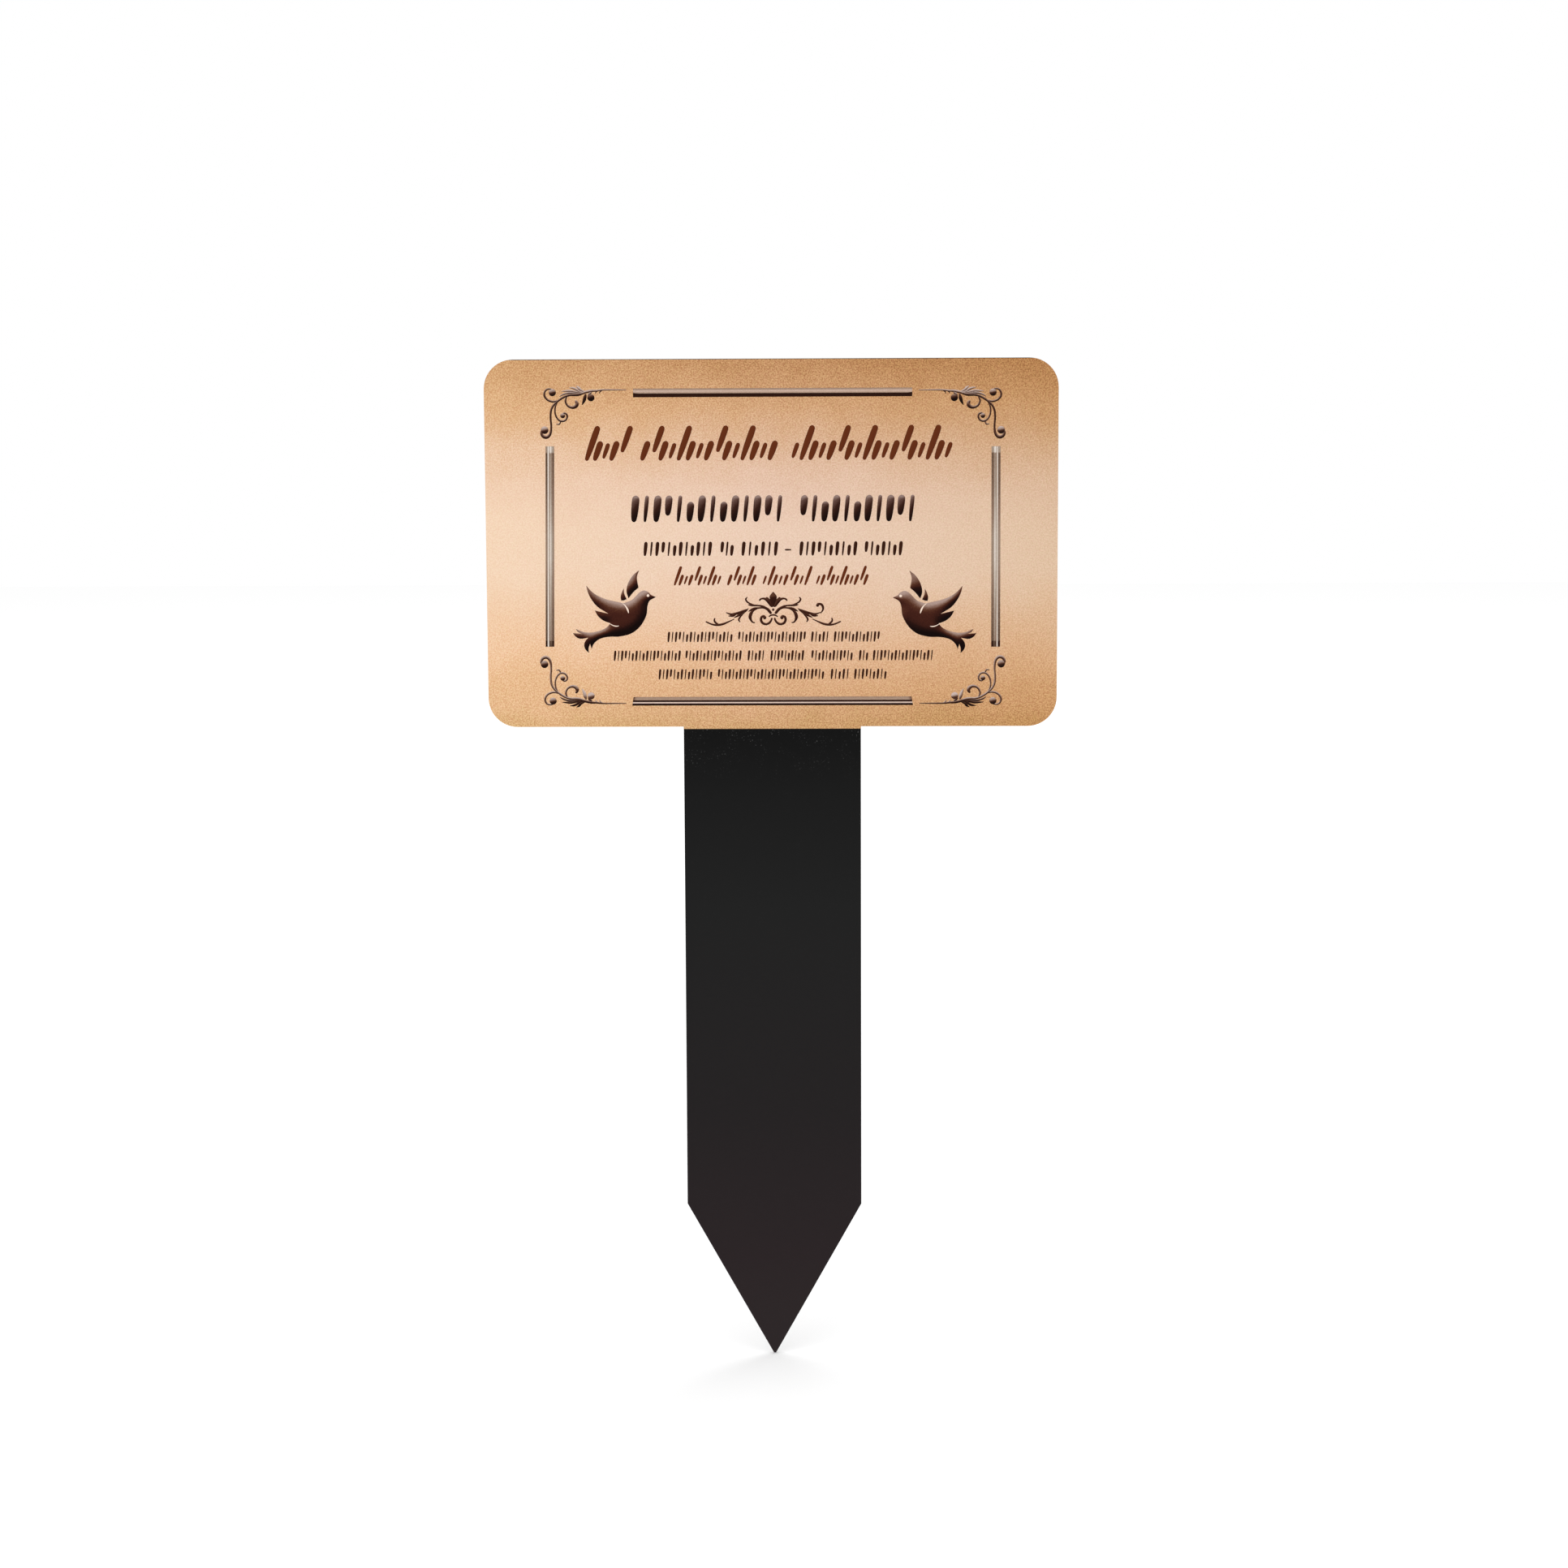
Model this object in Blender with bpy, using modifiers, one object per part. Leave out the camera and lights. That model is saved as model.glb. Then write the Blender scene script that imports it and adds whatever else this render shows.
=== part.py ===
"""Memorial stake plaque: one flat steel sheet, a round-cornered head on a wide pointed stake.

The sheet stands upright with its printed face towards -Y. The origin is on the stake's
centre line, in the middle of the sheet's thickness, at the line where the ground closes
round the stake. Lengths are in metres.
"""

import math

import bmesh
import bpy
from mathutils import Matrix

# Sizes of the sheet's outline, each set on its own.
HEAD_WIDTH = 0.1550
HEAD_HEIGHT = 0.0996
CORNER_RADIUS = 0.0079
STAKE_WIDTH = 0.0484
STAKE_LENGTH = 0.1336
POINT_LENGTH = 0.0428
TIP_RADIUS = 0.0005

# The sheet's thickness and the small round that deburring leaves on its rims.
SHEET_THICKNESS = 0.0015
RIM_RADIUS = 0.00025

# How much of the stake is in the ground, and how far the print runs on below the head.
BURIED_DEPTH = 0.1150
PRINT_BLEED = 0.0006

# How finely the arcs are cut.
CORNER_STEPS = 12
TIP_STEPS = 5
RIM_SEGMENTS = 3
MERGE_DISTANCE = 0.000001
LEAST_AREA = 0.000000001

# Heights above the ground line, from the tip up.
TIP_Z = -BURIED_DEPTH
SHOULDER_Z = TIP_Z + POINT_LENGTH
HEAD_LOW_Z = SHOULDER_Z + STAKE_LENGTH
HEAD_TOP_Z = HEAD_LOW_Z + HEAD_HEIGHT
PRINT_LOW_Z = HEAD_LOW_Z - PRINT_BLEED

PART_NAME = "memorial_stake_plaque"
SHEET_NAME = "stake_plaque_sheet"


def clear_scene():
    """Remove whatever objects the open file holds."""
    for thing in list(bpy.data.objects):
        bpy.data.objects.remove(thing, do_unlink=True)


def make_material(name, colour, roughness, metallic):
    """A Principled material with one colour."""
    material = bpy.data.materials.new(name)
    material.use_nodes = True
    shader = material.node_tree.nodes["Principled BSDF"]
    shader.inputs["Base Color"].default_value = (*colour, 1.0)
    shader.inputs["Roughness"].default_value = roughness
    shader.inputs["Metallic"].default_value = metallic
    material.diffuse_color = (*colour, 1.0)
    return material


def arc(centre_x, centre_z, radius, first, last, steps):
    """Points on an arc from the angle first to the angle last, in radians, both ends kept."""
    points = []
    for step in range(steps + 1):
        angle = first + (last - first) * step / steps
        points.append((centre_x + radius * math.cos(angle), centre_z + radius * math.sin(angle)))
    return points


def head_corners():
    """The head's four rounded corners in one run, from lower right round to lower left."""
    side = HEAD_WIDTH / 2 - CORNER_RADIUS
    low = HEAD_LOW_Z + CORNER_RADIUS
    high = HEAD_TOP_Z - CORNER_RADIUS
    points = []
    for quarter, (x, z) in enumerate(((side, low), (side, high), (-side, high), (-side, low))):
        first = (quarter - 1) * math.pi / 2
        points += arc(x, z, CORNER_RADIUS, first, first + math.pi / 2, CORNER_STEPS)
    return points


def rounded_tip():
    """The stake's point from its left flank to its right, a small arc that both flanks touch."""
    centre_z = TIP_Z + TIP_RADIUS
    drop = POINT_LENGTH - TIP_RADIUS
    reach = math.hypot(STAKE_WIDTH / 2, drop)
    slant = math.atan2(STAKE_WIDTH / 2, drop) - math.asin(TIP_RADIUS / reach)
    return arc(0.0, centre_z, TIP_RADIUS, math.pi + slant, 2 * math.pi - slant, TIP_STEPS)


def sheet_outline():
    """The whole outline, anticlockwise as seen from the front, starting right of the stake."""
    half = STAKE_WIDTH / 2
    return [
        (half, HEAD_LOW_Z),
        *head_corners(),
        (-half, HEAD_LOW_Z),
        (-half, SHOULDER_Z),
        *rounded_tip(),
        (half, SHOULDER_Z),
    ]


def outline_curve(name, points, thickness):
    """A filled flat curve through the points, given its thickness and stood upright."""
    data = bpy.data.curves.new(name, "CURVE")
    data.dimensions = "2D"
    data.fill_mode = "BOTH"
    data.extrude = thickness / 2
    spline = data.splines.new("POLY")
    spline.points.add(len(points) - 1)
    for point, (x, z) in zip(spline.points, points):
        point.co = (x, z, 0.0, 1.0)
    spline.use_cyclic_u = True
    curve = bpy.data.objects.new(name, data)
    curve.matrix_world = Matrix.Rotation(math.pi / 2, 4, "X")
    return curve


def curve_to_mesh(curve, name, collection):
    """Replace the curve by a mesh object of the same place, with one flat face front and back."""
    collection.objects.link(curve)
    graph = bpy.context.evaluated_depsgraph_get()
    mesh = bpy.data.meshes.new_from_object(curve.evaluated_get(graph))
    place = curve.matrix_world.copy()
    bpy.data.objects.remove(curve, do_unlink=True)
    mesh.name = name
    shape = bmesh.new()
    shape.from_mesh(mesh)
    bmesh.ops.remove_doubles(shape, verts=shape.verts[:], dist=MERGE_DISTANCE)
    sides = {face for face in shape.faces if abs(face.normal.z) < 0.5 and face.calc_area() > LEAST_AREA}
    caps = [face for face in shape.faces if face not in sides]
    bmesh.ops.delete(shape, geom=caps, context="FACES")
    open_rims = [edge for edge in shape.edges if edge.is_boundary]
    bmesh.ops.edgeloop_fill(shape, edges=open_rims)
    bmesh.ops.recalc_face_normals(shape, faces=shape.faces[:])
    shape.to_mesh(mesh)
    shape.free()
    solid = bpy.data.objects.new(name, mesh)
    collection.objects.link(solid)
    solid.matrix_world = place
    return solid


def is_cap(face):
    """True for a face of the sheet's flat front or back."""
    return abs(face.normal.z) > 0.5


def weigh_rims(mesh):
    """Mark the edges where the flat faces meet the cut sides, for the Bevel modifier."""
    shape = bmesh.new()
    shape.from_mesh(mesh)
    weight = shape.edges.layers.float.new("bevel_weight_edge")
    for edge in shape.edges:
        caps = sum(1 for face in edge.link_faces if is_cap(face))
        edge[weight] = 1.0 if caps == 1 else 0.0
    shape.to_mesh(mesh)
    shape.free()


def mark_printed_face(mesh):
    """Give the front of the head, and the strip of the print's bleed, the print's material."""
    shape = bmesh.new()
    shape.from_mesh(mesh)
    bmesh.ops.bisect_plane(
        shape,
        geom=shape.verts[:] + shape.edges[:] + shape.faces[:],
        dist=MERGE_DISTANCE,
        plane_co=(0.0, PRINT_LOW_Z, 0.0),
        plane_no=(0.0, 1.0, 0.0),
    )
    for face in shape.faces:
        in_front = face.normal.z > 0.5
        above = face.calc_center_median().y > PRINT_LOW_Z
        face.material_index = 1 if in_front and above else 0
    shape.to_mesh(mesh)
    shape.free()


def build_sheet(collection):
    """The one piece: head and stake cut from a single sheet, with its rims rounded."""
    curve = outline_curve("sheet_outline", sheet_outline(), SHEET_THICKNESS)
    sheet = curve_to_mesh(curve, SHEET_NAME, collection)
    sheet.data.materials.append(make_material("black_powder_coat", (0.012, 0.012, 0.012), 0.45, 0.0))
    sheet.data.materials.append(make_material("bronze_print", (0.78, 0.56, 0.38), 0.40, 0.0))
    mark_printed_face(sheet.data)
    weigh_rims(sheet.data)
    rim = sheet.modifiers.new("rounded_rim", "BEVEL")
    rim.width = min(RIM_RADIUS, 0.45 * SHEET_THICKNESS, 0.6 * TIP_RADIUS)
    rim.segments = RIM_SEGMENTS
    rim.limit_method = "WEIGHT"
    rim.material = 0
    sheet.data.shade_smooth()
    sheet.data.set_sharp_from_angle(angle=math.radians(30))
    return sheet


def main():
    """Build the plaque in a collection of its own."""
    clear_scene()
    collection = bpy.data.collections.new(PART_NAME)
    bpy.context.scene.collection.children.link(collection)
    build_sheet(collection)


main()
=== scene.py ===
"""Memorial stake plaque, dressed: a bronze print with brown ink on a black powder-coated sheet.

The sheet itself is the CAD node. The print is a thin film on the head's front, and each
ornament and row of strokes is a thin layer of ink on the film. Places on the printed face are
given in millimetres: across is measured from the sheet's centre line and up is measured from
the head's lower edge. The printed face looks towards -Y.
"""

from __future__ import annotations

import logging
import math
from collections.abc import Sequence
from dataclasses import dataclass, field
from enum import Enum

import bmesh
import bpy
import numpy as np
from mathutils import Matrix, Vector
from mathutils.geometry import delaunay_2d_cdt


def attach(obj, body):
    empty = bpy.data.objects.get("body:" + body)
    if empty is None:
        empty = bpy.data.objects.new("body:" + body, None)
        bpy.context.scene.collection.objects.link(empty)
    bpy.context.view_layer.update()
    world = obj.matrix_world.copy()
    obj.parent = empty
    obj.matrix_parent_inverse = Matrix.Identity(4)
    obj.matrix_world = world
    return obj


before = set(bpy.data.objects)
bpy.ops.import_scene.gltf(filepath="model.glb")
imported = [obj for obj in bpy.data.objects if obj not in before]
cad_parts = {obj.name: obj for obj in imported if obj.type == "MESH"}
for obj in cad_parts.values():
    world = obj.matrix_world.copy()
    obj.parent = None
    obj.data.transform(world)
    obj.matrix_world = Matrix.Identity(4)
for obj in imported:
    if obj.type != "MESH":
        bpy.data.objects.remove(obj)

LOG = logging.getLogger("stake_plaque")

Piece = bpy.types.Object
Pair = tuple[float, float]
Triple = tuple[float, float, float]
Stops = tuple[tuple[float, str], ...]

MM = 0.001
SHEET_NODE = "stake_plaque_sheet"

# The CAD sheet's own places, in metres.
FACE_Y = -0.00075
TIP_Z = -0.115
PRINT_LOW_Z = 0.0608
HEAD_LOW_Z = 0.0614
HEAD_TOP_Z = 0.161
HEAD_HALF_WIDTH = 0.0775

# The film stops here, where the rounded rim of the head's top turns away from the front.
PRINT_TOP_Z = 0.16085
FILM_THICKNESS = 0.02 * MM
FILM_Y = FACE_Y - FILM_THICKNESS

# A flat layer of ink is this many times as deep as it stands proud, so its back is in the film.
LAYER_DEPTH = 1.5

# Points nearer than these, in metres, are merged: in a copy of the CAD mesh, and in a stroke's caps.
COPY_WELD = 0.000001
CAP_WELD = 0.0000001

# Where a stroke's round end has samples of its own, as shares of the end's radius.
END_SHARES = (0.06, 0.2, 0.42, 0.7)

# The mesh attribute that carries an ink's tone, from zero, dark, to one, light.
TONE = "tone"
MIDDLE_TONE = 0.5

# A noise texture hardly leaves this range.
NOISE_LOW = 0.25
NOISE_HIGH = 0.75


class Slot(Enum):
    """Names of the record's material slots, which an ink layer holds but this script doesn't use."""

    BRONZE_PRINT = "bronze_print"
    BROWN_INK = "brown_ink"


def linear(hex_colour: str) -> tuple[float, float, float, float]:
    """Turn an sRGB hex colour to linear.

    Args:
        hex_colour: Six hex digits after a hash sign.

    Returns:
        Linear red, green and blue, and an alpha of one.
    """
    parts = [int(hex_colour[i : i + 2], 16) / 255 for i in (1, 3, 5)]
    red, green, blue = (p / 12.92 if p <= 0.04045 else ((p + 0.055) / 1.055) ** 2.4 for p in parts)
    return (red, green, blue, 1.0)


def add_node(
    tree: bpy.types.NodeTree, kind: str, sockets: dict | None = None, **settings
) -> bpy.types.Node:
    """Add a node with its settings, values and links.

    Args:
        tree: The node tree that gets it.
        kind: Blender's name for the node's type, without the ShaderNode in front.
        sockets: Input name or number to a value, or to the output socket that feeds it.
        **settings: Properties of the node itself.

    Returns:
        The new node.
    """
    node = tree.nodes.new(f"ShaderNode{kind}")
    for name, value in settings.items():
        setattr(node, name, value)
    for key, value in (sockets or {}).items():
        if isinstance(value, bpy.types.NodeSocket):
            tree.links.new(value, node.inputs[key])
        else:
            node.inputs[key].default_value = value
    return node


def set_ramp(node: bpy.types.Node, stops: Stops) -> None:
    """Give a colour ramp its stops.

    Args:
        node: The ColorRamp node.
        stops: Place from zero to one, and sRGB hex colour, in rising order.
    """
    elements = node.color_ramp.elements
    while len(elements) > 1:
        elements.remove(elements[-1])
    elements[0].position = stops[0][0]
    elements[0].color = linear(stops[0][1])
    for place, colour in stops[1:]:
        elements.new(place).color = linear(colour)


def new_material(
    name: str, roughness: float, specular: float
) -> tuple[bpy.types.Material, bpy.types.NodeTree, bpy.types.Node]:
    """Start a Principled material.

    Args:
        name: The material's name.
        roughness: Its roughness.
        specular: Its specular level.

    Returns:
        The material, its node tree and its Principled shader.
    """
    material = bpy.data.materials.new(name)
    material.use_nodes = True
    shader = material.node_tree.nodes["Principled BSDF"]
    shader.inputs["Roughness"].default_value = roughness
    shader.inputs["Specular IOR Level"].default_value = specular
    return material, material.node_tree, shader


@dataclass(frozen=True)
class PowderCoat:
    """Black polyester powder coat on steel, sprayed on dry and baked."""

    # Powder that melts as it bakes gives a deep satin black with a fine orange peel. Its colour carries a
    # painted sheen of the floor's light, warm and a little paler towards the tip, and some dull flecks just
    # under the print.
    name: str = "powder_coat_satin_black"
    # Colours from the tip up to a height in metres, with the painted sheen towards the tip.
    bands: Stops = (
        (0.0, "#282021"), (0.16, "#231a1c"), (0.4, "#1b1718"), (0.72, "#171717"), (0.9, "#101010"),
        (1.0, "#060606"),
    )
    bands_top: float = 0.06
    fleck: str = "#606060"
    roughness: float = 0.46
    specular: float = 0.12
    # Each noise is a size in millimetres, a detail and a roughness.
    peel: Triple = (1.3, 2.0, 0.5)
    peel_strength: float = 0.35
    peel_depth: float = 0.00002
    patches: Triple = (5.0, 1.0, 0.5)
    patch_range: Pair = (0.44, 0.62)
    # Real flecks are finer than this and are drawn coarse so that they show.
    flecks: Triple = (0.4, 1.0, 0.5)
    fleck_range: Pair = (0.65, 0.8)
    # Below the first of these heights only the rest of the flecks shows, and above the second all.
    fleck_heights: Pair = (0.046, 0.058)
    fleck_rest: float = 0.06

    def build(self) -> bpy.types.Material:
        """Make the material.

        Returns:
            The material.
        """
        material, tree, shader = new_material(self.name, self.roughness, self.specular)
        place = add_node(tree, "TexCoord").outputs["Object"]
        up = add_node(tree, "SeparateXYZ", {0: place}).outputs["Z"]
        height = add_node(tree, "MapRange", {"Value": up, "From Min": TIP_Z, "From Max": self.bands_top})
        # The coat's black with its painted sheen, warmer and paler towards the tip.
        coat = add_node(tree, "ValToRGB", {"Fac": height.outputs[0]})
        set_ramp(coat, self.bands)
        noises = []
        for size_mm, detail, rough in (self.flecks, self.patches, self.peel):
            sockets = {"Vector": place, "Scale": 1 / (size_mm * MM), "Detail": detail, "Roughness": rough}
            noises.append(add_node(tree, "TexNoise", sockets).outputs[0])
        specks, patches, peel = noises
        amount = 1.0
        for source, span, least in (
            (specks, self.fleck_range, 0.0),
            (patches, self.patch_range, 0.0),
            (up, self.fleck_heights, self.fleck_rest),
        ):
            sockets = {"Value": source, "From Min": span[0], "From Max": span[1], "To Min": least}
            mask = add_node(tree, "MapRange", sockets).outputs[0]
            amount = add_node(tree, "Math", {0: mask, 1: amount}, operation="MULTIPLY").outputs[0]
        sockets = {"Factor": amount, 6: coat.outputs["Color"], 7: linear(self.fleck)}
        colour = add_node(tree, "Mix", sockets, data_type="RGBA")
        tree.links.new(colour.outputs[2], shader.inputs["Base Color"])
        sockets = {"Height": peel, "Strength": self.peel_strength, "Distance": self.peel_depth}
        bump = add_node(tree, "Bump", sockets)
        tree.links.new(bump.outputs[0], shader.inputs["Normal"])
        return material


@dataclass(frozen=True)
class BronzePrint:
    """A picture of satin bronze, printed in ink that ultraviolet light cures."""

    # The ink sets before it can flow, so its own surface is satin and even. The bronze is only a
    # picture: a pale warm middle, tan above and below, a slightly darker right side, a fine grain. These
    # tones from bottom to top and from left to right are partly printed and partly painted light and shade.
    name: str = "uv_print_satin_bronze"
    # Colours from the print's lower edge to its top, and shades over them from left to right, each partly
    # printed and partly painted light and shade, with the right side darker.
    bands: Stops = (
        (0.0, "#d1ab7a"), (0.07, "#dcb389"), (0.12, "#dfb68c"), (0.21, "#e7c09c"), (0.43, "#ebcfb5"),
        (0.54, "#ebcfb5"), (0.66, "#e7c8ae"), (0.76, "#e0bd9d"), (0.87, "#d7ae83"), (1.0, "#c5996a"),
    )
    across_print_and_shade: Stops = ((0.0, "#ffffff"), (0.5, "#f3f3fb"), (1.0, "#e7e5e1"))
    mottle_hues: Stops = ((0.35, "#d9b267"), (0.65, "#ffb7a6"))
    grain_shades: Stops = ((0.32, "#000000"), (0.68, "#ffffff"))
    # A warmer, darker tint in the right-hand corners towards the top and bottom, partly printed and partly
    # painted shade.
    corner_tint_and_shade: str = "#f1e3cb"
    roughness: float = 0.42
    specular: float = 0.25
    # Each noise is a size in millimetres, a detail and a roughness.
    clouds: Triple = (14.0, 3.0, 0.6)
    cloud_drift: float = 0.045
    mottle: Triple = (0.9, 2.0, 0.6)
    mottle_share: float = 0.16
    # The printed dots are finer than this grain, which is drawn coarse so that it shows.
    grain: Triple = (0.36, 1.0, 0.5)
    # The grain is weak in the face's middle and stronger at its lower and upper ends, over a range
    # given in shares of the height from the middle.
    grain_middle: float = 0.22
    grain_ends: float = 0.52
    ends_range: Pair = (0.12, 0.48)
    grain_strength: float = 0.12
    grain_depth: float = 0.00001

    def build(self) -> bpy.types.Material:
        """Make the material.

        Returns:
            The material.
        """
        material, tree, shader = new_material(self.name, self.roughness, self.specular)
        place = add_node(tree, "TexCoord").outputs["Object"]
        split = add_node(tree, "SeparateXYZ", {0: place})
        noises = []
        for size_mm, detail, rough in (self.clouds, self.mottle, self.grain):
            sockets = {"Vector": place, "Scale": 1 / (size_mm * MM), "Detail": detail, "Roughness": rough}
            noises.append(add_node(tree, "TexNoise", sockets).outputs[0])
        clouds, mottle, grain = noises
        mapped = []
        for source, low, high, least, most in (
            (split.outputs["Z"], PRINT_LOW_Z, HEAD_TOP_Z, 0.0, 1.0),
            (split.outputs["X"], -HEAD_HALF_WIDTH, HEAD_HALF_WIDTH, 0.0, 1.0),
            (clouds, NOISE_LOW, NOISE_HIGH, -self.cloud_drift, self.cloud_drift),
        ):
            sockets = {"Value": source, "From Min": low, "From Max": high, "To Min": least, "To Max": most}
            mapped.append(add_node(tree, "MapRange", sockets).outputs[0])
        height, across, wander = mapped
        # The colour from bottom to top, paler in the middle: partly printed and partly painted light and
        # shade.
        sockets = {0: height, 1: wander}
        band = add_node(tree, "Math", sockets, operation="ADD", use_clamp=True).outputs[0]
        off_middle = add_node(tree, "Math", {0: height, 1: 0.5}, operation="SUBTRACT")
        to_ends = add_node(tree, "Math", {0: off_middle.outputs[0]}, operation="ABSOLUTE")
        low, high = self.ends_range
        sockets = {"Value": to_ends.outputs[0], "From Min": low, "From Max": high}
        ends = add_node(tree, "MapRange", sockets).outputs[0]
        # Where the tint for the right-hand corners falls: partly printed and partly painted shade.
        corner = add_node(tree, "Math", {0: ends, 1: across}, operation="MULTIPLY").outputs[0]
        sockets = {"Value": ends, "To Min": self.grain_middle, "To Max": self.grain_ends}
        grain_share = add_node(tree, "MapRange", sockets).outputs[0]
        ramps = []
        for source, stops in (
            (band, self.bands),
            (across, self.across_print_and_shade),
            (mottle, self.mottle_hues),
            (grain, self.grain_shades),
        ):
            ramp = add_node(tree, "ValToRGB", {"Fac": source})
            set_ramp(ramp, stops)
            ramps.append(ramp.outputs["Color"])
        colour, shade, hue, speck = ramps
        for factor, over, way in (
            (1.0, shade, "MULTIPLY"),
            (corner, linear(self.corner_tint_and_shade), "MULTIPLY"),
            (self.mottle_share, hue, "SOFT_LIGHT"),
            (grain_share, speck, "SOFT_LIGHT"),
        ):
            sockets = {"Factor": factor, 6: colour, 7: over}
            colour = add_node(tree, "Mix", sockets, data_type="RGBA", blend_type=way).outputs[2]
        tree.links.new(colour, shader.inputs["Base Color"])
        sockets = {"Height": grain, "Strength": self.grain_strength, "Distance": self.grain_depth}
        bump = add_node(tree, "Bump", sockets)
        tree.links.new(bump.outputs[0], shader.inputs["Normal"])
        return material


@dataclass(frozen=True)
class Ink:
    """Printing ink that ultraviolet light cures, over the bronze print."""

    # The ink lies flat and matt. All the relief that the eye sees in it is drawn, from nearly black
    # to a dusty light brown, along the tone that each piece carries.
    name: str
    ramp: Stops
    roughness: float = 0.55
    specular: float = 0.06
    # The printed dots are finer than this grain, which is drawn coarse so that it shows.
    grain_mm: float = 0.3
    grain_detail: float = 2.0
    grain_drift: float = 0.05

    def build(self) -> bpy.types.Material:
        """Make the material.

        Returns:
            The material.
        """
        material, tree, shader = new_material(self.name, self.roughness, self.specular)
        place = add_node(tree, "TexCoord").outputs["Object"]
        tone = add_node(tree, "Attribute", attribute_name=TONE, attribute_type="GEOMETRY")
        sockets = {"Vector": place, "Scale": 1 / (self.grain_mm * MM), "Detail": self.grain_detail}
        grain = add_node(tree, "TexNoise", sockets).outputs[0]
        sockets = {"Value": grain, "From Min": NOISE_LOW, "From Max": NOISE_HIGH}
        sockets |= {"To Min": -self.grain_drift, "To Max": self.grain_drift}
        wander = add_node(tree, "MapRange", sockets).outputs[0]
        sockets = {0: tone.outputs["Fac"], 1: wander}
        shade = add_node(tree, "Math", sockets, operation="ADD", use_clamp=True)
        ramp = add_node(tree, "ValToRGB", {"Fac": shade.outputs[0]})
        set_ramp(ramp, self.ramp)
        tree.links.new(ramp.outputs["Color"], shader.inputs["Base Color"])
        return material


POWDER_COAT = PowderCoat()
BRONZE_PRINT = BronzePrint()
SCROLL_INK = Ink("uv_ink_umber_airbrushed", (
    (0.0, "#130502"), (0.26, "#29130b"), (0.46, "#46281b"), (0.62, "#6e5042"), (0.8, "#9d877c"),
    (1.0, "#c4afa6"),
))
SIDE_BAR_INK = Ink("uv_ink_grey_umber_bars", (
    (0.0, "#1c0802"), (0.15, "#2f150b"), (0.3, "#5f4a3b"), (0.45, "#8a705f"), (0.56, "#998777"),
    (0.7, "#b8aa9d"), (0.85, "#cfc1b5"), (1.0, "#e4dad0"),
))
BAR_INK = Ink("uv_ink_umber_bars", (
    (0.0, "#1c0802"), (0.15, "#30150b"), (0.3, "#5c4030"), (0.45, "#86695a"), (0.6, "#a58b78"),
    (0.75, "#c0a595"), (0.9, "#d6bfb3"), (1.0, "#e2d0c4"),
))
DOVE_INK = Ink("uv_ink_umber_figure", (
    (0.0, "#100302"), (0.25, "#240b06"), (0.42, "#411c12"), (0.55, "#553020"), (0.72, "#79594c"),
    (0.88, "#94796d"), (1.0, "#a99086"),
))
FLOURISH_INK = Ink("uv_ink_umber_line", ((0.0, "#1c0703"), (0.5, "#351509"), (1.0, "#684433")))
RUSSET_INK = Ink("uv_ink_red_brown", ((0.0, "#55210b"), (1.0, "#683114")))
BEVELLED_INK = Ink("uv_ink_umber_bevelled", (
    (0.0, "#0e0402"), (0.35, "#210c06"), (0.55, "#351a11"), (0.78, "#5e433b"), (1.0, "#917a72"),
))
UMBER_INK = Ink("uv_ink_dark_umber", ((0.0, "#260e04"), (1.0, "#3f1e0e")))
CREAM_INK = Ink("uv_ink_cream", ((0.0, "#ecd2bd"), (1.0, "#f3dfd0")))


def deselect_all() -> None:
    """Leave object mode with nothing selected."""
    if bpy.context.object and bpy.context.object.mode != "OBJECT":
        bpy.ops.object.mode_set(mode="OBJECT")
    bpy.ops.object.select_all(action="DESELECT")


def make_active(piece: Piece) -> None:
    """Select one object alone and make it active."""
    deselect_all()
    piece.select_set(True)
    bpy.context.view_layer.objects.active = piece


def new_object(name: str, data: bpy.types.ID) -> Piece:
    """Make an object of the data and link it to the scene."""
    thing = bpy.data.objects.new(name, data)
    bpy.context.scene.collection.objects.link(thing)
    return thing


def edit_all(piece: Piece) -> None:
    """Open a mesh in edit mode with everything selected."""
    make_active(piece)
    bpy.ops.object.mode_set(mode="EDIT")
    bpy.ops.mesh.select_all(action="SELECT")


def thicken(piece: Piece, depth: float) -> None:
    """Extrude an open face backwards to a closed layer, with its faces outwards.

    Args:
        piece: The open mesh object.
        depth: How far back, in metres.
    """
    edit_all(piece)
    bpy.ops.mesh.delete_loose()
    bpy.ops.mesh.select_all(action="SELECT")
    bpy.ops.mesh.extrude_region_move(TRANSFORM_OT_translate={"value": (0.0, depth, 0.0)})
    bpy.ops.mesh.select_all(action="SELECT")
    bpy.ops.mesh.normals_make_consistent(inside=False)
    bpy.ops.object.mode_set(mode="OBJECT")


def join_pieces(pieces: list[Piece], name: str) -> Piece:
    """Join mesh objects into one at the origin.

    Args:
        pieces: The objects, at least one.
        name: The name of the joined object.

    Returns:
        The joined object.
    """
    make_active(pieces[0])
    for piece in pieces[1:]:
        piece.select_set(True)
    if len(pieces) > 1:
        bpy.ops.object.join()
    joined = bpy.context.object
    bpy.ops.object.transform_apply(location=True, rotation=True, scale=True)
    joined.name = name
    joined.data.name = name
    return joined


def write_tone(piece: Piece, values: np.ndarray) -> None:
    """Store one tone for each vertex, held between zero and one."""
    layer = piece.data.attributes.new(TONE, "FLOAT", "POINT")
    layer.data.foreach_set("value", np.clip(values, 0.0, 1.0).astype(np.float32))


def vertex_array(piece: Piece, what: str) -> np.ndarray:
    """Read the places or the normals of a mesh's vertices.

    Args:
        piece: A mesh object.
        what: Either co or normal.

    Returns:
        One row for each vertex.
    """
    flat = np.zeros(len(piece.data.vertices) * 3)
    piece.data.vertices.foreach_get(what, flat)
    return flat.reshape(-1, 3)


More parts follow.
